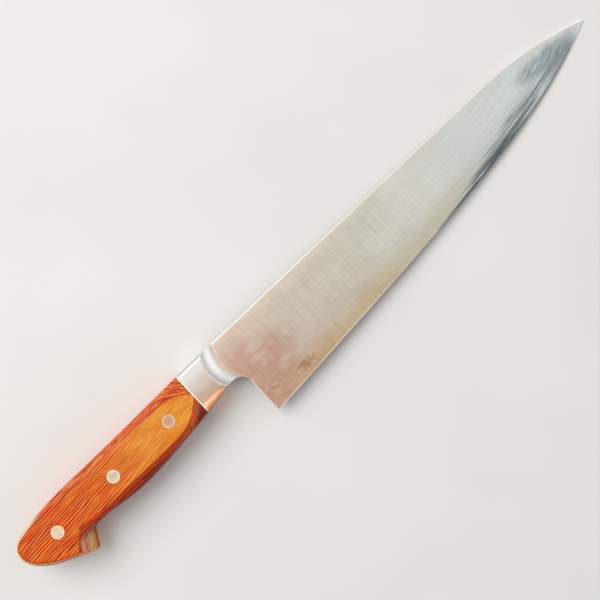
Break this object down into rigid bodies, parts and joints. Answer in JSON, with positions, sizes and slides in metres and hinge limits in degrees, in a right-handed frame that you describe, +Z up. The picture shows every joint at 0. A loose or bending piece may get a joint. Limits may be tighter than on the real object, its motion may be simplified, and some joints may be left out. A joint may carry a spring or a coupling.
{
  "type": "chef knife",
  "caption": "Chef knife with a long satin steel blade, a sloped steel bolster and a full-tang handle of layered red-brown wood held by flush rivets, lying on its side",
  "frame": {"origin": "centre of the whole knife's bounding box in plan, on the plane that touches the underside of the handle", "axes": "the knife lies on its left side: +X from the handle to the tip, +Y from the edge to the spine, +Z up through the thickness of the blade"},
  "size_m": [0.3694, 0.0446, 0.018],
  "materials": {
    "blade_steel": "satin, fine cross grain",
    "bolster_steel": "satin",
    "rivet_steel": "satin, ground flush",
    "handle_wood": "resin-filled laminate, satin"
  },
  "bodies": {
    "root": {"blade": "blade_steel", "bolster_right": "bolster_steel", "bolster_left": "bolster_steel", "scale_right": "handle_wood", "scale_left": "handle_wood", "rivet_front_female": "rivet_steel", "rivet_front_male": "rivet_steel", "rivet_middle_female": "rivet_steel", "rivet_middle_male": "rivet_steel", "rivet_rear_female": "rivet_steel", "rivet_rear_male": "rivet_steel"}
  },
  "joints": []
}
